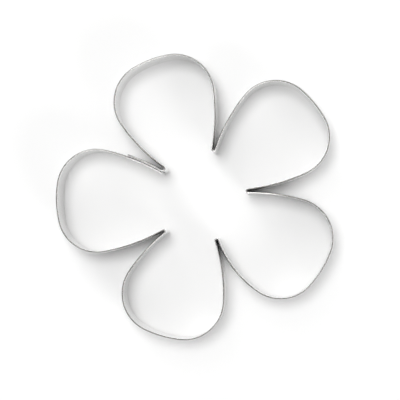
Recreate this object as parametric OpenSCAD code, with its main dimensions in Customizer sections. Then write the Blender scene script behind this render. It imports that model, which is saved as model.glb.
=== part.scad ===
// Pastry cutter in the shape of a five-petal flower: one thin steel strip standing on its edge,
// bent into egg-shaped petals with a tight fold between each pair. The two ends of the strip lap
// on the left petal and are held there by spot welds. Millimetres, +Z up. The origin is the middle
// of the flower's outline, on the plane of the cutting edge.

/* [Flower] */
// Distance from the heart, the point that the petals spring from, to the tip of a petal
petal_reach = 40.6; // [37:0.1:46]
// Half of a petal's width; like every size of the plan, it is to the middle of the strip's thickness
petal_half_width = 14.3; // [12.5:0.1:16]
// Radius of the strip across the tip of a petal
crown_radius = 30; // [22:0.5:45]
// Radius of the strip round the two shoulders of a petal
shoulder_radius = 11; // [8:0.5:12]
// Radius of the long limbs that run from the shoulders to the folds
limb_radius = 54; // [45:1:120]
// Distance from the heart to the centre of a fold
fold_reach = 13.4; // [10:0.1:16]
// Radius of a fold at its inner face
fold_radius = 0.15; // [0.15:0.05:0.5]
// Direction of the left petal, counted counterclockwise from +X, in degrees
flower_angle = 182.8; // [0:0.1:360]

/* [Strip] */
// Thickness of the steel strip
strip_thickness = 0.5; // [0.3:0.05:0.8]
// Depth of the strip, from the cutting edge to the pressing edge
strip_depth = 13; // [10:0.5:40]
// How much thinner the strip is drawn where it is bent round a shoulder or a fold
bend_thinning = 0.02; // [0.01:0.01:0.05]

/* [Lap seam] */
// Length of the outer layer of the lap, from the fold to its free end
lap_length = 10.5; // [6:0.5:14]
// Gap between the two layers of the lap
lap_gap = 0.1; // [0.05:0.05:0.3]
// Length by which the inner layer runs on past the lap's start, into the tip
lap_run_on = 0.4; // [0.1:0.1:0.8]
// Diameter of a spot weld
weld_diameter = 2; // [1:0.1:3]
// Distance from the centre of a spot weld to the nearer edge of the strip
weld_inset = 3.5; // [2.5:0.1:4.5]
// Depth of the dent that the welding tips leave on both faces
weld_dent = 0.05; // [0.02:0.01:0.1]

/* [Hand forming] */
// How far each petal's direction is off the even spacing: left, bottom, lower right, upper right, top
angle_trim = [-0.4, -0.5, 1.7, 0.8, -0.1]; // [-4:0.1:4]
// How much further each petal reaches than the common reach, in the same order
reach_trim = [0, -0.2, -1.4, 0.1, 0.1]; // [-2:0.1:2]
// How much wider each half petal is than the common half width, in the same order
width_trim = [0.1, 0, 0.1, -0.2, -0.1]; // [-0.5:0.1:0.5]
// How much flatter each petal's clockwise limb is than the common radius, in the same order
first_limb_trim = [6, -4, -24, 0, 6]; // [-24:1:24]
// How much flatter each petal's counterclockwise limb is than the common radius, in the same order
last_limb_trim = [0, -8, 0, -4, -4]; // [-24:1:24]
// How far each fold is off the even spacing, in degrees, from the lap's fold counterclockwise
fold_angle_trim = [-2.5, 4.4, -1.4, 3.6, 0.2]; // [-5:0.1:5]
// How much further each fold lies from the heart than the common distance, in the same order
fold_reach_trim = [-0.2, 1, -0.3, -0.3, 0.1]; // [-2:0.1:2]
// How much wider each fold is than the common radius, in the same order
fold_radius_trim = [0.15, 0, 0, 0, 0]; // [0:0.05:0.5]

/* [Hidden] */
$fa = 2;
$fs = 0.1;
// Petals are numbered counterclockwise from the left one; petal i starts at fold i
LEFT = 0;
BOTTOM = 1;
LOWER_RIGHT = 2;
UPPER_RIGHT = 3;
TOP = 4;
PETALS = 5;
petal_spacing = 360 / PETALS;
half_thickness = strip_thickness / 2;
// Distance between the centre lines of the lap's two layers
lap_pitch = strip_thickness + lap_gap;
// How far a tool that cuts right through something stands out of it
overcut = 1;
// How far the thinner bends run into the limbs and the crown beside them
bend_tuck = 0.05;
steel = [0.76, 0.77, 0.78];
weld_steel = [0.62, 0.62, 0.63];

// Heights of the two spot welds
function weld_height(upper) = upper ? strip_depth - weld_inset : weld_inset;

function along(angle) = [cos(angle), sin(angle)];
function bearing(from, to) = atan2(to[1] - from[1], to[0] - from[0]);
function full_turn(angle) = angle - 360 * floor(angle / 360);
function next(i) = (i + 1) % PETALS;
// Length on an arc, as an angle
function arc_angle(length, radius) = length / radius * 180 / PI;

// The point at distance r1 from p and r2 from q, on the left of the line from p to q
// where side is 1 and on its right where side is -1
function meet(p, r1, q, r2, side) =
    let (
        gap = norm(q - p),
        ahead = (q - p) / gap,
        run = (gap * gap + r1 * r1 - r2 * r2) / (2 * gap),
        rise = sqrt(r1 * r1 - run * run)
    )
    p + run * ahead + side * rise * [-ahead[1], ahead[0]];

// Centre and centre-line radius of fold i, which lies clockwise of petal i
function fold_centre(i) =
    (fold_reach + fold_reach_trim[i]) *
    along(flower_angle + (i - 0.5) * petal_spacing + fold_angle_trim[i]);
function fold_line(i) = fold_radius + fold_radius_trim[i] + half_thickness;

// The crown's centre lies on the petal's own line, and each shoulder rolls inside the crown's arc
function petal_line(i) = flower_angle + i * petal_spacing + angle_trim[i];
function crown_centre(i) = (petal_reach + reach_trim[i] - crown_radius) * along(petal_line(i));
function shoulder_centre(i, side) =
    let (
        out = petal_half_width + width_trim[i] - shoulder_radius,
        up = sqrt(pow(crown_radius - shoulder_radius, 2) - out * out)
    )
    crown_centre(i) + up * along(petal_line(i)) + side * out * along(petal_line(i) + 90);

// Each limb rolls off its shoulder and off its fold. The left petal's first limb is the lap's
// inner layer, which stands one pitch further from the fold than the layer that leaves the fold.
function first_limb_radius(i) = limb_radius + first_limb_trim[i];
function first_limb_stand_off(i) = fold_line(i) + (i == LEFT ? lap_pitch : 0);
function first_limb_centre(i) = meet(
    shoulder_centre(i, -1), first_limb_radius(i) - shoulder_radius,
    fold_centre(i), first_limb_radius(i) + first_limb_stand_off(i), -1
);
function last_limb_radius(i) = limb_radius + last_limb_trim[i];
function last_limb_centre(i) = meet(
    shoulder_centre(i, 1), last_limb_radius(i) - shoulder_radius,
    fold_centre(next(i)), last_limb_radius(i) + fold_line(next(i)), 1
);

// An arc of the strip is its centre, its centre-line radius, its first and last bearing, and how
// much thinner it is than flat strip. A petal is its first limb, a shoulder, the crown, the other
// shoulder, its last limb and the fold after it.
function petal_arcs(i) =
    let (
        c1 = first_limb_centre(i),
        s1 = shoulder_centre(i, -1),
        c = crown_centre(i),
        s2 = shoulder_centre(i, 1),
        c2 = last_limb_centre(i),
        f = fold_centre(next(i)),
        run_on = i == LEFT ? arc_angle(lap_run_on, first_limb_radius(i)) : 0
    )
    [
        [c1, first_limb_radius(i), bearing(c1, fold_centre(i)) - run_on, bearing(c1, s1), 0],
        bend(s1, shoulder_radius, bearing(c1, s1), bearing(c, s1), bend_tuck),
        [c, crown_radius, bearing(c, s1), bearing(c, s2), 0],
        bend(s2, shoulder_radius, bearing(c, s2), bearing(c2, s2), bend_tuck),
        [c2, last_limb_radius(i), bearing(c2, s2), bearing(c2, f), 0],
        bend(f, fold_line(next(i)), bearing(f, first_limb_centre(next(i))), bearing(f, c2), 0)
    ];

// A bend runs a little way into the thicker arc after it, and by first_tuck into the one before
function bend(centre, radius, first, last, first_tuck) = [
    centre,
    radius,
    first - arc_angle(first_tuck, radius),
    last + arc_angle(bend_tuck, radius),
    bend_thinning
];

// How far the flower reaches from its heart in a direction: out to the arc that faces that way
function outline_reach(angle) = max([
    for (i = [LEFT:TOP])
        for (arc = petal_arcs(i))
            if (full_turn(angle - arc[2]) < full_turn(arc[3] - arc[2]))
                arc[0] * along(angle) + arc[1] + half_thickness - arc[4] / 2
]);

// The heart's place, once the middle of the flower's outline is at the origin
heart = [
    (outline_reach(180) - outline_reach(0)) / 2,
    (outline_reach(270) - outline_reach(90)) / 2
];

// The plan of one arc: a ring cut to the wedge between its two bearings
module arc_plan(arc) {
    half = half_thickness - arc[4] / 2;
    sweep = full_turn(arc[3] - arc[2]);
    far = 2 * arc[1];
    translate(heart + arc[0])
        rotate([0, 0, arc[2]])
            intersection() {
                difference() {
                    circle(r = arc[1] + half);
                    circle(r = arc[1] - half);
                }
                polygon([[0, 0], far * along(0), 2 * far * along(sweep / 2), far * along(sweep)]);
            }
}

module strip(arcs) {
    linear_extrude(strip_depth)
        for (arc = arcs)
            arc_plan(arc);
}

// A round bar through both layers of the lap, square to them, short of both outer faces by inset
module lap_bar(upper, inset) {
    centre = first_limb_centre(LEFT);
    place = heart + centre;
    radius = first_limb_radius(LEFT);
    turn = bearing(centre, fold_centre(LEFT)) + arc_angle(lap_length / 2, radius + lap_pitch);
    translate([place[0], place[1], weld_height(upper)])
        rotate([0, 0, turn])
            translate([radius - half_thickness + inset, 0, 0])
                rotate([0, 90, 0])
                    cylinder(d = weld_diameter, h = lap_pitch + strip_thickness - 2 * inset);
}

module weld_holes() {
    lap_bar(true, -overcut);
    lap_bar(false, -overcut);
}

module petal_left() {
    color(steel)
        difference() {
            strip(petal_arcs(LEFT));
            weld_holes();
        }
}

module petal_bottom() {
    color(steel)
        strip(petal_arcs(BOTTOM));
}

module petal_lower_right() {
    color(steel)
        strip(petal_arcs(LOWER_RIGHT));
}

module petal_upper_right() {
    color(steel)
        strip(petal_arcs(UPPER_RIGHT));
}

module petal_top() {
    color(steel)
        strip(petal_arcs(TOP));
}

// The strip's last end: it leaves the lap's fold and lies on the outside of the left petal
module lap_tab() {
    centre = first_limb_centre(LEFT);
    radius = first_limb_radius(LEFT) + lap_pitch;
    start = bearing(centre, fold_centre(LEFT));
    color(steel)
        difference() {
            strip([[centre, radius, start, start + arc_angle(lap_length, radius), 0]]);
            weld_holes();
        }
}

module spot_weld_upper() {
    color(weld_steel)
        lap_bar(true, weld_dent);
}

module spot_weld_lower() {
    color(weld_steel)
        lap_bar(false, weld_dent);
}

petal_left();
petal_bottom();
petal_lower_right();
petal_upper_right();
petal_top();
lap_tab();
spot_weld_upper();
spot_weld_lower();
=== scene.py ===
# %% [markdown]
# # A flower-shaped pastry cutter
# The real object is one strip of stainless steel, half a millimetre thick, standing on its edge.
# It is bent round into five petals, and its two ends lap on the left petal and are spot-welded.
# Almost nothing of it shows from above except its edge and what its walls mirror, so this scene
# spends its care on the shape of that edge, on the steel's finish and on the light.
#
# The cutter already exists as plain solids, which are loaded first and stay as they are. What is
# made here stands for them, in the same place and at the same size, in metres.

import cmath
import math

import bmesh
import bpy
from mathutils import Matrix, Vector


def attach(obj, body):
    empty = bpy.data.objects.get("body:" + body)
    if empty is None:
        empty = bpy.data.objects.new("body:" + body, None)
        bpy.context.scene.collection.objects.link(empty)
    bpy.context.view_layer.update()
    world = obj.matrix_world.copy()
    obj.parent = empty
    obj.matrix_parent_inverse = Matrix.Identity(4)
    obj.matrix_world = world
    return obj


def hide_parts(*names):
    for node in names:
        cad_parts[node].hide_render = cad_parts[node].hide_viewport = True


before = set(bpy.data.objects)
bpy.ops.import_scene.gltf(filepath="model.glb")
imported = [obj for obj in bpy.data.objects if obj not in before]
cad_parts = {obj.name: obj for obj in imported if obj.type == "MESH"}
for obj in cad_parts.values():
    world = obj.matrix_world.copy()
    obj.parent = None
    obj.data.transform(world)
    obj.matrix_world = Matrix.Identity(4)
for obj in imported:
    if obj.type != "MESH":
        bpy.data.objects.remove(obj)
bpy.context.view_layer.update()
print("nodes:", sorted(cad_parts))

# %% [markdown]
# ## The plan of the flower
# Seen from above, the strip is a chain of arcs that run into each other without a corner. Each
# petal has a limb, a shoulder, a crown, a second shoulder, a second limb and then a tight fold
# that turns back into the next petal. Complex numbers suit such a plan: one number is a point,
# and a product turns it. The plan could be drawn as a freehand curve too, but arcs that touch
# keep the smooth bends that the strip took from the forming pins. The sizes are the part's own,
# in millimetres and degrees.

# %% Sizes of the flower
MM = 0.001
PETALS = 5
LEFT = 0
FLOWER_ANGLE = 182.8
PETAL_REACH = 40.6
PETAL_HALF_WIDTH = 14.3
CROWN_RADIUS = 30
SHOULDER_RADIUS = 11
LIMB_RADIUS = 54
FOLD_REACH = 13.4
FOLD_RADIUS = 0.15
STRIP_THICKNESS = 0.5
LAP_GAP = 0.1
LAP_PITCH = STRIP_THICKNESS + LAP_GAP
print(PETALS, "petals that reach about", PETAL_REACH, "mm from the heart")

# %% What hand forming did to each petal and fold
# Five numbers each, counterclockwise from the left petal or from the fold before it.
ANGLE_TRIM = (-0.4, -0.5, 1.7, 0.8, -0.1)
REACH_TRIM = (0, -0.2, -1.4, 0.1, 0.1)
WIDTH_TRIM = (0.1, 0, 0.1, -0.2, -0.1)
FIRST_LIMB_TRIM = (6, -4, -24, 0, 6)
LAST_LIMB_TRIM = (0, -8, 0, -4, -4)
FOLD_ANGLE_TRIM = (-2.5, 4.4, -1.4, 3.6, 0.2)
FOLD_REACH_TRIM = (-0.2, 1, -0.3, -0.3, 0.1)
FOLD_RADIUS_TRIM = (0.15, 0, 0, 0, 0)
print("each petal's own reach:", [round(PETAL_REACH + trim, 1) for trim in REACH_TRIM], "mm")


# %% Points and directions of the plan
def along(degrees):
    """The point at distance 1 in a direction."""
    return cmath.rect(1, math.radians(degrees))


def bearing(start, end):
    """The direction from one point to another, in radians."""
    return cmath.phase(end - start)


def meet(p, p_radius, q, q_radius, side):
    """The point at the two distances from p and q, left of the way from p to q if side is 1."""
    gap = abs(q - p)
    run = (gap ** 2 + p_radius ** 2 - q_radius ** 2) / (2 * gap)
    rise = math.sqrt(p_radius ** 2 - run ** 2)
    return p + (q - p) / gap * complex(run, side * rise)


print("a point 5 from 0 and 5 from 6:", meet(0, 5, 6, 5, 1))


# %% Circles of the plan
def fold_centre(i):
    i %= PETALS
    angle = FLOWER_ANGLE + (i - 0.5) * 360 / PETALS + FOLD_ANGLE_TRIM[i]
    return (FOLD_REACH + FOLD_REACH_TRIM[i]) * along(angle)


def fold_line(i):
    """Radius of the middle of the strip's thickness as it turns round fold i."""
    return FOLD_RADIUS + FOLD_RADIUS_TRIM[i % PETALS] + STRIP_THICKNESS / 2


def crown_centre(i):
    angle = FLOWER_ANGLE + i * 360 / PETALS + ANGLE_TRIM[i]
    return (PETAL_REACH + REACH_TRIM[i] - CROWN_RADIUS) * along(angle)


def shoulder_centre(i, side):
    """The shoulder before the crown if side is -1, or after it if side is 1."""
    out = PETAL_HALF_WIDTH + WIDTH_TRIM[i] - SHOULDER_RADIUS
    up = math.sqrt((CROWN_RADIUS - SHOULDER_RADIUS) ** 2 - out ** 2)
    middle = crown_centre(i)
    return middle + middle / abs(middle) * complex(up, side * out)


def first_limb(i):
    """Centre and radius of the limb that leaves fold i."""
    i %= PETALS
    radius = LIMB_RADIUS + FIRST_LIMB_TRIM[i]
    stand_off = fold_line(i) + (LAP_PITCH if i == LEFT else 0)
    shoulder = shoulder_centre(i, -1)
    return meet(shoulder, radius - SHOULDER_RADIUS, fold_centre(i), radius + stand_off, -1), radius


def last_limb(i):
    """Centre and radius of the limb that runs into the next fold."""
    radius = LIMB_RADIUS + LAST_LIMB_TRIM[i]
    shoulder = shoulder_centre(i, 1)
    reach = radius + fold_line(i + 1)
    return meet(shoulder, radius - SHOULDER_RADIUS, fold_centre(i + 1), reach, 1), radius


print("the left petal's crown turns about", crown_centre(LEFT))

# %% The chain of arcs
LAP_LENGTH = 10.5
LAP_RUN_ON = 0.4


def arc(centre, radius, start, end):
    """Centre, radius, start and sweep of an arc that runs counterclockwise to another bearing."""
    return centre, radius, start, (end - start) % math.tau


def petal_arcs(i):
    """The five arcs of petal i and the fold after it, which turns the other way."""
    first, first_radius = first_limb(i)
    last, last_radius = last_limb(i)
    before, after = shoulder_centre(i, -1), shoulder_centre(i, 1)
    crown, fold = crown_centre(i), fold_centre(i + 1)
    begin = bearing(first, fold_centre(i)) - (LAP_RUN_ON / first_radius if i == LEFT else 0)
    back = (bearing(fold, last) - bearing(fold, first_limb(i + 1)[0])) % math.tau
    return [
        arc(first, first_radius, begin, bearing(first, before)),
        arc(before, SHOULDER_RADIUS, bearing(first, before), bearing(crown, before)),
        arc(crown, CROWN_RADIUS, bearing(crown, before), bearing(crown, after)),
        arc(after, SHOULDER_RADIUS, bearing(crown, after), bearing(last, after)),
        arc(last, last_radius, bearing(last, after), bearing(last, fold)),
        (fold, fold_line(i + 1), bearing(fold, last), -back),
    ]


def lap_arc():
    """The outer layer of the lap, which follows the left petal's first limb one pitch outside it."""
    centre, radius = first_limb(LEFT)
    outer = radius + LAP_PITCH
    return centre, outer, bearing(centre, fold_centre(LEFT)), LAP_LENGTH / outer


chain = [link for i in range(PETALS) for link in petal_arcs(i)] + [lap_arc()]
strip_length = sum(radius * abs(sweep) for centre, radius, start, sweep in chain)
print(len(chain), "arcs, a strip", round(strip_length), "mm long")

# %% [markdown]
# ## The strip
# The strip is drawn like the real one is rolled: a small cross-section is carried along the whole
# chain, arc by arc, with bmesh's spin operator. Each arc ends with the ring of points that the
# next one starts with, so the rings merge and the result is one skin with no seams. A curve with
# a bevel profile would be shorter to write, but it only estimates which way each section faces,
# and in the tight folds the steel would change its thickness. Turning the section about the
# fold's own centre keeps it exact.
#
# Slitting leaves sharp corners, so the maker eases them: every corner of the section is rounded a
# little, and the rim's outer corner, which the hand presses on, also gets a narrow, steep chamfer.

# %% The cross-section
STRIP_DEPTH = 13
CORNER = 0.03
CORNER_STEPS = 3
EASED_WIDTH = 0.22
# Heights of the outer face's points, from the cutting edge to the foot of the chamfer.
SECTION_LEVELS = (0, 0.3, 1.2, 3, 5, 6.5, 8, 10, 11.8, 12.4)
ACROSS = "across"


def round_corners(bm, verts):
    bmesh.ops.bevel(bm, geom=verts, offset=CORNER * MM, offset_type="OFFSET", segments=CORNER_STEPS,
                    profile=0.5, affect="VERTICES", material=-1)


def section(bm):
    """A ring of points round the strip's cross-section, outer face towards +X, upright on XZ.

    Each point keeps in the layer ACROSS how far it lies from the inner face.
    """
    half = STRIP_THICKNESS / 2 * MM
    across = bm.verts.layers.float.new(ACROSS)
    outer = [bm.verts.new((half, 0, z * MM)) for z in SECTION_LEVELS]
    top = bm.verts.new((half - EASED_WIDTH * MM, 0, STRIP_DEPTH * MM))
    inner = [bm.verts.new((-half, 0, z * MM)) for z in reversed((*SECTION_LEVELS, STRIP_DEPTH))]
    bm.faces.new([*outer, top, *inner])
    round_corners(bm, [outer[0], outer[-1], top, inner[0], inner[-1]])
    bmesh.ops.delete(bm, geom=bm.faces[:], context="FACES_ONLY")
    for v in bm.verts:
        v[across] = v.co.x + half
    return bm.verts[:] + bm.edges[:]


chamfer = math.degrees(math.atan2(STRIP_DEPTH - SECTION_LEVELS[-1], EASED_WIDTH))
print("the chamfer stands at", round(chamfer), "degrees")

# %% Carry the section along the chain
FLATNESS = 0.0015
FOLD_STEP = math.radians(9)
MERGE_DISTANCE = 1e-6


def steps_for(radius, sweep):
    """Enough steps to keep each chord within FLATNESS of its arc."""
    step = min(math.sqrt(8 * FLATNESS / radius), FOLD_STEP)
    return max(2, math.ceil(abs(sweep) / step))


def point(place, z=0.0):
    return Vector((place.real * MM, place.imag * MM, z * MM))


def spin_arc(bm, centre, radius, start, sweep):
    """Stands the section on the arc's first point, outer face outwards, and spins it along."""
    ring = section(bm)
    turn = start if sweep > 0 else start + math.pi
    bmesh.ops.rotate(bm, verts=bm.verts[:], cent=(0, 0, 0), matrix=Matrix.Rotation(turn, 3, "Z"))
    bmesh.ops.translate(bm, verts=bm.verts[:], vec=point(centre + cmath.rect(radius, start)))
    bmesh.ops.spin(bm, geom=ring, cent=point(centre), axis=(0, 0, 1), dvec=(0, 0, 0),
                   angle=sweep, steps=steps_for(radius, sweep), use_merge=False,
                   use_duplicate=False, use_normal_flip=False)


def strip_mesh():
    """Every arc in turn, merged where they meet, with a cap on each end of the strip."""
    bm = bmesh.new()
    link = bpy.data.meshes.new("link")
    for link_arc in chain:
        piece = bmesh.new()
        spin_arc(piece, *link_arc)
        piece.to_mesh(link)
        piece.free()
        bm.from_mesh(link)
    bpy.data.meshes.remove(link)
    bmesh.ops.remove_doubles(bm, verts=bm.verts[:], dist=MERGE_DISTANCE)
    bmesh.ops.holes_fill(bm, edges=bm.edges[:], sides=0)
    bmesh.ops.recalc_face_normals(bm, faces=bm.faces[:])
    return bm


strip_bm = strip_mesh()
print("strip:", len(strip_bm.verts), "points")


# %% Set it on the middle of the table
def middle_of(bm):
    """The middle of the mesh's outline, seen from above."""
    low = [min(v.co[k] for v in bm.verts) for k in (0, 1)]
    high = [max(v.co[k] for v in bm.verts) for k in (0, 1)]
    return Vector(((low[0] + high[0]) / 2, (low[1] + high[1]) / 2, 0))


HEART = -middle_of(strip_bm)
bmesh.ops.translate(strip_bm, verts=strip_bm.verts[:], vec=HEART)
print("the petals spring from", [round(x / MM, 3) for x in HEART], "mm")

# %% [markdown]
# ## Where the cutting edge lifts off the table
# A bent strip never stands quite flat. In a few places light shows under this one: below the
# crown and the left side of the top petal, below the crown of the upper right petal and under
# the left side of the bottom petal. The lower edge is raised there by half a millimetre to
# almost one, the wall above it by less, and the rim not at all, with a smooth bump round each
# place. A sculpting brush does the same by hand; a falloff in code does it alike each time.

# %% Lift the lower edge
LIFTS = (
    # direction and distance from the heart, lift and spread
    (113, 40, 0.9, 9),
    (132, 34, 0.65, 7),
    (47, 40, 0.95, 8),
    (240, 30, 0.5, 6),
)


def lift_at(place):
    lift = 0.0
    for angle, reach, height, spread in LIFTS:
        away = abs(place - reach * along(angle)) / spread
        lift = max(lift, height * math.exp(-away ** 2))
    return lift


def lift_lower_edge(bm):
    """Raises each point by less the higher it stands, and returns the largest lift."""
    most = 0.0
    for v in bm.verts:
        flat = (v.co - HEART) / MM
        share = max(0.0, 1 - flat.z / STRIP_DEPTH)
        lift = lift_at(complex(flat.x, flat.y)) * share
        v.co.z += lift * MM
        most = max(most, lift)
    return most


print("the cutting edge lifts by up to", round(lift_lower_edge(strip_bm), 2), "mm")

# %% [markdown]
# ## The slope of the rim
# A slitting blade drags the steel over a little, so a cut edge is never square. Here the rim is
# lower on its outer side, by more degrees at the crowns than near the heart. A level rim would
# mirror the lamp overhead and shine white; the sloped one mirrors the darker room and draws
# the thin grey outline of the photograph.

# %% Slope the rim outwards
RIM_START = 12.75
RIM_SLOPES = (10, 15.5)
RIM_SLOPE_REACH = (20, 34)


def slope_rim(bm):
    """Lowers the rim's points by how far across the strip they lie."""
    across = bm.verts.layers.float[ACROSS]
    near, far = RIM_SLOPE_REACH
    for v in bm.verts:
        if v.co.z > RIM_START * MM:
            reach = (v.co - HEART).xy.length / MM
            share = min(max((reach - near) / (far - near), 0), 1)
            slope = RIM_SLOPES[0] + share * (RIM_SLOPES[1] - RIM_SLOPES[0])
            v.co.z -= v[across] * math.tan(math.radians(slope))
    bm.verts.layers.float.remove(across)


slope_rim(strip_bm)
print("the rim stands", round(max(v.co.z for v in strip_bm.verts) / MM, 3), "mm high")

# %% [markdown]
# ## From mesh to object
# The walls are shaded smooth, so that each arc reads as one curve. Edges that turn by more than
# SHARP_ANGLE stay sharp: the rim is so narrow that it would otherwise borrow the walls' normals
# and lose its clear line. The object stays at the origin, with its place in its mesh, because a
# pattern on Object coordinates would slide along a piece that is moved later.

# %% Make it an object
SHARP_ANGLE = math.radians(12)


def add_piece(name, bm, smooth=True):
    mesh = bpy.data.meshes.new(name)
    for face in bm.faces:
        face.smooth = smooth
    bm.to_mesh(mesh)
    bm.free()
    piece = bpy.data.objects.new(name, mesh)
    bpy.context.scene.collection.objects.link(piece)
    return piece


strip = add_piece("steel_strip", strip_bm)
strip.data.set_sharp_from_angle(angle=SHARP_ANGLE)
strip_nodes = ["petal_left", "petal_bottom", "petal_lower_right", "petal_upper_right", "petal_top",
               "lap_tab"]
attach(strip, "root")
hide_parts(*strip_nodes)
print("strip:", len(strip.data.polygons), "faces")

# %% [markdown]
# ## The spot welds
# Each spot weld is a round spot fused through both layers. The copper tips leave a shallow dish
# with a low rim on both faces. Its half profile is spun once round an axis to make one closed
# button, as thick as the two layers, and the button is then set across the lap. Bumps in the
# strip's own mesh would need far more points for the same dish.

# %% A weld button
WELD_DIAMETER = 2
WELD_RIM = 0.035
WELD_TURNS = 48
# how far out, as a share of the radius, and how far up, as a share of WELD_RIM
WELD_PROFILE = ((0, -0.25), (0.35, -0.15), (0.6, 0.45), (0.8, 1), (0.93, 0.8), (1, -0.3))


def weld_mesh():
    """A closed button about the X axis, dished on both faces."""
    bm = bmesh.new()
    half = (LAP_PITCH + STRIP_THICKNESS) / 2
    rim = WELD_DIAMETER / 2
    face = [(rim * r, half + WELD_RIM * rise) for r, rise in WELD_PROFILE]
    outline = face + [(r, -h) for r, h in reversed(face)]
    verts = [bm.verts.new((h * MM, 0, r * MM)) for r, h in outline]
    edges = [bm.edges.new(pair) for pair in zip(verts, verts[1:])]
    bmesh.ops.spin(bm, geom=verts + edges, cent=(0, 0, 0), axis=(1, 0, 0), dvec=(0, 0, 0),
                   angle=math.tau, steps=WELD_TURNS, use_merge=True, use_duplicate=False,
                   use_normal_flip=False)
    bmesh.ops.remove_doubles(bm, verts=bm.verts[:], dist=MERGE_DISTANCE)
    bmesh.ops.recalc_face_normals(bm, faces=bm.faces[:])
    return bm


def weld_button(name, height):
    """Sets a button across the middle of the lap, and returns it and its place."""
    bm = weld_mesh()
    centre, radius = first_limb(LEFT)
    turn = bearing(centre, fold_centre(LEFT)) + LAP_LENGTH / 2 / (radius + LAP_PITCH)
    place = point(centre + cmath.rect(radius + LAP_PITCH / 2, turn), height) + HEART
    bmesh.ops.rotate(bm, verts=bm.verts[:], cent=(0, 0, 0), matrix=Matrix.Rotation(turn, 3, "Z"))
    bmesh.ops.translate(bm, verts=bm.verts[:], vec=place)
    button = add_piece(name, bm)
    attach(button, "root")
    return button, place


# %% Two welds, one above the other
WELD_INSET = 3.5
welds = {}
for end, height in (("upper", STRIP_DEPTH - WELD_INSET), ("lower", WELD_INSET)):
    button, place = weld_button("weld_button_" + end, height)
    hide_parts("spot_weld_" + end)
    welds[end] = (button, place)
    print(end, "weld at", [round(x / MM, 2) for x in place], "mm")

# %% [markdown]
# ## Writing materials as sums
# A finish is easier to read as arithmetic than as boxes and wires. This small class holds one
# output of a node tree and makes a Math node for each sum or product. Every other node comes
# from its one method, which takes the node's type, its settings and the values of its sockets.


# %% A wire that can be added and multiplied
class Wire:
    def __init__(self, tree, socket=None):
        self.tree = tree
        self.socket = socket

    def node(self, kind, settings=None, sockets=None, out=0):
        made = self.tree.nodes.new(kind)
        for name, value in (settings or {}).items():
            setattr(made, name, value)
        for key, value in (sockets or {}).items():
            if isinstance(value, Wire):
                self.tree.links.new(value.socket, made.inputs[key])
            else:
                made.inputs[key].default_value = value
        return Wire(self.tree, made.outputs[out])

    def maths(self, operation, *values):
        return self.node("ShaderNodeMath", {"operation": operation}, dict(enumerate(values)))

    def __add__(self, other):
        return self.maths("ADD", self, other)

    def __sub__(self, other):
        return self.maths("SUBTRACT", self, other)

    def __rsub__(self, other):
        return self.maths("SUBTRACT", other, self)

    def __mul__(self, other):
        return self.maths("MULTIPLY", self, other)

    def __abs__(self):
        return self.maths("ABSOLUTE", self)

    __radd__ = __add__
    __rmul__ = __mul__


def new_material(name):
    """An empty material, its start of wires and its output's surface socket."""
    material = bpy.data.materials.new(name)
    material.use_nodes = True
    tree = material.node_tree
    tree.nodes.clear()
    output = tree.nodes.new("ShaderNodeOutputMaterial")
    return material, Wire(tree), output.inputs["Surface"]


# %% [markdown]
# ## The steel
# Rolled stainless steel is neither a mirror nor satin. It has fine lines along the rolling
# direction, soft cloudy patches, a few hairline scratches, and coarser, duller slit edges.
# The lines run level round every wall, so a noise that is squeezed along Z and read in Object
# coordinates follows all of them at once. A UV map along the strip would do the same, but this
# needs no unwrapping. Round each spot weld the heat left a straw-coloured ring, drawn by the
# distance from the weld's middle. The rim and the cutting edge are cut surfaces, duller than the
# rolled faces, and are told apart by their height alone. Their darker colour is partly the sheared
# steel and partly painted shade, which draws the rim's dark outline.


# %% Helpers for patterns
def noise(wire, scale, detail):
    """Noise on Object coordinates, with its own scale along each axis."""
    coordinates = wire.node("ShaderNodeTexCoord", out="Object")
    squeezed = wire.node("ShaderNodeMapping", {}, {"Vector": coordinates, "Scale": scale})
    return wire.node("ShaderNodeTexNoise", {}, {
        "Vector": squeezed, "Scale": 1.0, "Detail": detail})


def between(wire, value, low, high):
    """0 below low, 1 above high and a smooth rise from one to the other."""
    return wire.node("ShaderNodeMapRange", {"interpolation_type": "SMOOTHSTEP"}, {
        "Value": value, "From Min": low, "From Max": high})


def blend_colours(wire, share, first, second):
    return wire.node("ShaderNodeMix", {"data_type": "RGBA"}, {
        "Factor": share, "A": first, "B": second}, out="Result")


# %% Patterns of the steel
# Scale along X, Y and Z, and how many finer layers the noise has.
GRAIN = ((90, 90, 16000), 3)
ROLLING_LINES = ((40, 40, 5200), 2)
CLOUDS = ((70, 70, 110), 3)
SCRATCHES = ((70, 70, 2600), 1)
SCRATCHED_PATCHES = ((240, 240, 420), 2)
# Ranges over which one look blends into another, the last in millimetres from a weld's middle.
SCRATCHED = (0.5, 0.58)
HAIRLINE_WIDTH = (0.004, 0.012)
TINT_RING = (1.0, 2.3)
# How high the cut foot reaches, and how softly it and the cut rim end, in millimetres.
CUTTING_EDGE = 0.06
EDGE_FADE = 0.03


def hairlines(wire):
    """Thin, nearly level scratches: the lines along which a stretched noise crosses its middle."""
    crossing = abs(noise(wire, *SCRATCHES) - 0.5)
    line = 1 - between(wire, crossing, *HAIRLINE_WIDTH)
    return line * between(wire, noise(wire, *SCRATCHED_PATCHES), *SCRATCHED)


def heat_tint(wire, position):
    """1 at the rim of each weld, fading to 0 across the ring that the heat coloured."""
    near, far = [reach * MM for reach in TINT_RING]
    rings = []
    for button, place in welds.values():
        away = wire.node("ShaderNodeVectorMath", {"operation": "DISTANCE"}, {0: position, 1: place},
                         out="Value")
        rings.append(1 - between(wire, away, near, far))
    return sum(rings)


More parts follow.
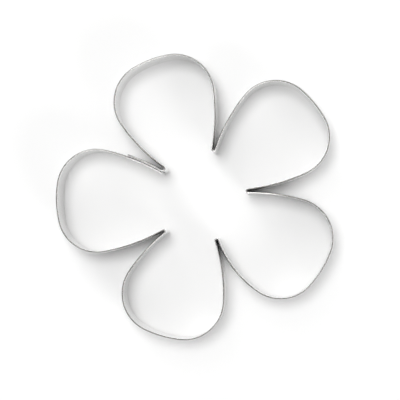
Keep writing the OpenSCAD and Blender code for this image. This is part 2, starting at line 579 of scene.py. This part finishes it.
def cut_surface_and_painted_shade(wire, position):
    """1 on the rim and on the cutting edge, 0 on the walls: duller cut steel and the rim's painted
    shade.
    """
    height = wire.node("ShaderNodeSeparateXYZ", {}, {"Vector": position}, out="Z")
    rim = between(wire, height, (RIM_START - EDGE_FADE) * MM, RIM_START * MM)
    foot = 1 - between(wire, height, CUTTING_EDGE * MM, (CUTTING_EDGE + EDGE_FADE) * MM)
    return rim + foot


# %% Colours and finish of the steel
STEEL = (0.80, 0.797, 0.792, 1)
STEEL_CLOUD = (0.69, 0.687, 0.682, 1)
# Colour of the rim and cutting edge: duller sheared steel, darkened further as painted shade for the
# rim's outline.
SHEARED_STEEL_AND_PAINTED_SHADE = (0.42, 0.415, 0.405, 1)
STRAW_TINT = (0.62, 0.53, 0.37, 1)
CLOUD_SHADE = (0.42, 0.68)
CLOUD_DULLNESS = (0.4, 0.7)
TINT_SHARE = 0.55
ROLLED_ROUGHNESS = 0.10
CUT_ROUGHNESS = 0.24
# How much duller grain, clouds and scratches make the rolled faces.
GRAIN_DULLS = 0.06
CLOUD_DULLS = 0.05
SCRATCH_DULLS = 0.12
# How high grain and lines stand and how deep scratches lie, as shares of RELIEF.
GRAIN_HEIGHT = 0.6
LINES_HEIGHT = 0.4
SCRATCH_DEPTH = 0.5
RELIEF = 0.02
RELIEF_STRENGTH = 0.16


def steel_material():
    material, wire, surface = new_material("rolled_steel")
    position = wire.node("ShaderNodeTexCoord", out="Object")
    grain, lines, cloud = noise(wire, *GRAIN), noise(wire, *ROLLING_LINES), noise(wire, *CLOUDS)
    scratch = hairlines(wire)
    cut_and_shade = cut_surface_and_painted_shade(wire, position)
    colour = blend_colours(wire, between(wire, cloud, *CLOUD_SHADE), STEEL, STEEL_CLOUD)
    colour = blend_colours(wire, TINT_SHARE * heat_tint(wire, position), colour, STRAW_TINT)
    # The rim and cutting edge take a darker colour, partly sheared steel and partly painted shade.
    colour = blend_colours(wire, cut_and_shade, colour, SHEARED_STEEL_AND_PAINTED_SHADE)
    dull_cloud = CLOUD_DULLS * between(wire, cloud, *CLOUD_DULLNESS)
    rough = ROLLED_ROUGHNESS + GRAIN_DULLS * grain + dull_cloud + SCRATCH_DULLS * scratch
    rough = rough + cut_and_shade * (CUT_ROUGHNESS - rough)
    relief = GRAIN_HEIGHT * grain + LINES_HEIGHT * lines - SCRATCH_DEPTH * scratch
    bump = wire.node("ShaderNodeBump", {}, {
        "Height": relief, "Strength": RELIEF_STRENGTH, "Distance": RELIEF * MM})
    shader = wire.node("ShaderNodeBsdfPrincipled", {}, {
        "Base Color": colour, "Metallic": 1.0, "Roughness": rough, "Normal": bump})
    wire.tree.links.new(shader.socket, surface)
    return material


steel = steel_material()
strip.data.materials.clear()
strip.data.materials.append(steel)
print("steel:", len(steel.node_tree.nodes), "nodes")

# %% [markdown]
# ## The weld steel
# A weld has melted and set again, so it has lost the rolled finish: it is duller, finely pitted
# and partly straw-coloured. Three patterns could be laid over each other, but one fine noise,
# the same along all three axes, is enough. It drives colour, roughness and bump together, so
# the grains that stand between the pits are also the dullest and the most tinted.

# %% Weld steel
PITS = ((2500, 2500, 2500), 3)
PIT_TINT = (0.4, 0.7)
PIT_DEPTH = 0.05
PIT_STRENGTH = 0.3
WELD_ROUGHNESS = 0.3
PITS_DULL = 0.2


def weld_material():
    material, wire, surface = new_material("weld_steel")
    pits = noise(wire, *PITS)
    colour = blend_colours(wire, between(wire, pits, *PIT_TINT), STEEL_CLOUD, STRAW_TINT)
    rough = WELD_ROUGHNESS + PITS_DULL * pits
    bump = wire.node("ShaderNodeBump", {}, {
        "Height": pits, "Strength": PIT_STRENGTH, "Distance": PIT_DEPTH * MM})
    shader = wire.node("ShaderNodeBsdfPrincipled", {}, {
        "Base Color": colour, "Metallic": 1.0, "Roughness": rough, "Normal": bump})
    wire.tree.links.new(shader.socket, surface)
    return material


weld_finish = weld_material()
for button, place in welds.values():
    button.data.materials.append(weld_finish)
print("weld steel:", len(weld_finish.node_tree.nodes), "nodes")

# %% [markdown]
# ## The table
# The cutter stands on a plain white table. Its own pale colour makes the white ground, so no
# lamp has to be turned up for it. It has no shine, because the photograph shows no reflections
# on it, and it isn't part of the object.

# %% Table
TABLE_SIZE = 4.0
TABLE_COLOUR = (0.97, 0.97, 0.968, 1)


def make_table():
    bm = bmesh.new()
    bmesh.ops.create_grid(bm, x_segments=1, y_segments=1, size=TABLE_SIZE / 2)
    table = add_piece("table", bm, smooth=False)
    material, wire, surface = new_material("white_table")
    shader = wire.node("ShaderNodeBsdfDiffuse", {}, {"Color": TABLE_COLOUR})
    wire.tree.links.new(shader.socket, surface)
    table.data.materials.append(material)
    return table


table = make_table()
print("table:", [round(x, 1) for x in table.dimensions.xy], "m")

# %% [markdown]
# ## The light
# A large soft lamp hangs almost overhead, a little up and to the left, in a room that is evenly
# bright. A weaker lamp beside it, a low window behind it and a card at the lower right lighten
# the shadows and the upright walls. Steel shows what it mirrors more than its own colour, so
# these few plain discs are set as much for their reflections as for their shadows.

# %% Lamps
LAMP_DISTANCE = 1.2
LAMPS = {
    # azimuth, elevation and half angle in degrees, as seen from the cutter, and power in watts
    "key_lamp": (118, 82, 12, 7.7),
    "fill_card": (315, 26, 15, 3.7),
    "side_lamp": (112, 54, 14, 1.0),
    "window": (115, 22, 14, 2.0),
}


def make_lamp(name, azimuth, elevation, half_angle, power):
    """A round soft lamp that faces the cutter."""
    data = bpy.data.lights.new(name, "AREA")
    data.shape = "DISK"
    data.size = 2 * LAMP_DISTANCE * math.tan(math.radians(half_angle))
    data.energy = power
    lamp = bpy.data.objects.new(name, data)
    flat = along(azimuth) * math.cos(math.radians(elevation))
    away = Vector((flat.real, flat.imag, math.sin(math.radians(elevation))))
    lamp.location = away * LAMP_DISTANCE
    lamp.rotation_euler = away.to_track_quat("Z", "Y").to_euler()
    bpy.context.scene.collection.objects.link(lamp)
    return lamp


for name, placing in LAMPS.items():
    lamp = make_lamp(name, *placing)
    print(name, "is", round(lamp.data.size, 2), "m wide,", round(lamp.location.z, 2), "m up")

# %% The bright room
ROOM_LEVEL = 0.37


def light_room():
    world = bpy.data.worlds.new("room")
    world.use_nodes = True
    background = world.node_tree.nodes["Background"]
    background.inputs["Color"].default_value = (1, 1, 1, 1)
    background.inputs["Strength"].default_value = ROOM_LEVEL
    bpy.context.scene.world = world


light_room()
bpy.context.scene.view_settings.view_transform = "Standard"
print("the room's brightness:", ROOM_LEVEL)

# %% [markdown]
# ## Camera
# The photograph was taken from about forty centimetres above, a little to the right of the
# flower's heart: the walls lean away from that point. The lens is long, and the camera is
# tilted by four degrees, so that no shift is needed.

# %% Camera
PHOTO_WIDTH = 400
SENSOR_WIDTH = 36.0
CAMERA_PLACE = (27.42, -12.16, 432.36)
CAMERA_AIM = (-0.28, -1.06, 13.0)
MM_PER_PIXEL = 0.2778


def make_camera():
    """A camera that looks from CAMERA_PLACE to CAMERA_AIM, both measured from the heart."""
    place = Vector(CAMERA_PLACE) * MM + HEART
    aim = Vector(CAMERA_AIM) * MM + HEART
    forward = (aim - place).normalized()
    right = forward.cross(Vector((0, 1, 0))).normalized()
    up = right.cross(forward)
    data = bpy.data.cameras.new("camera")
    data.sensor_width = SENSOR_WIDTH
    data.lens = SENSOR_WIDTH * (aim - place).length / (MM_PER_PIXEL * MM * PHOTO_WIDTH)
    camera = bpy.data.objects.new("camera", data)
    turn = Matrix((right, up, -forward)).transposed().to_4x4()
    camera.matrix_world = Matrix.Translation(place) @ turn
    bpy.context.scene.collection.objects.link(camera)
    bpy.context.scene.camera = camera
    return camera


camera = make_camera()
print("lens:", round(camera.data.lens, 1), "mm")
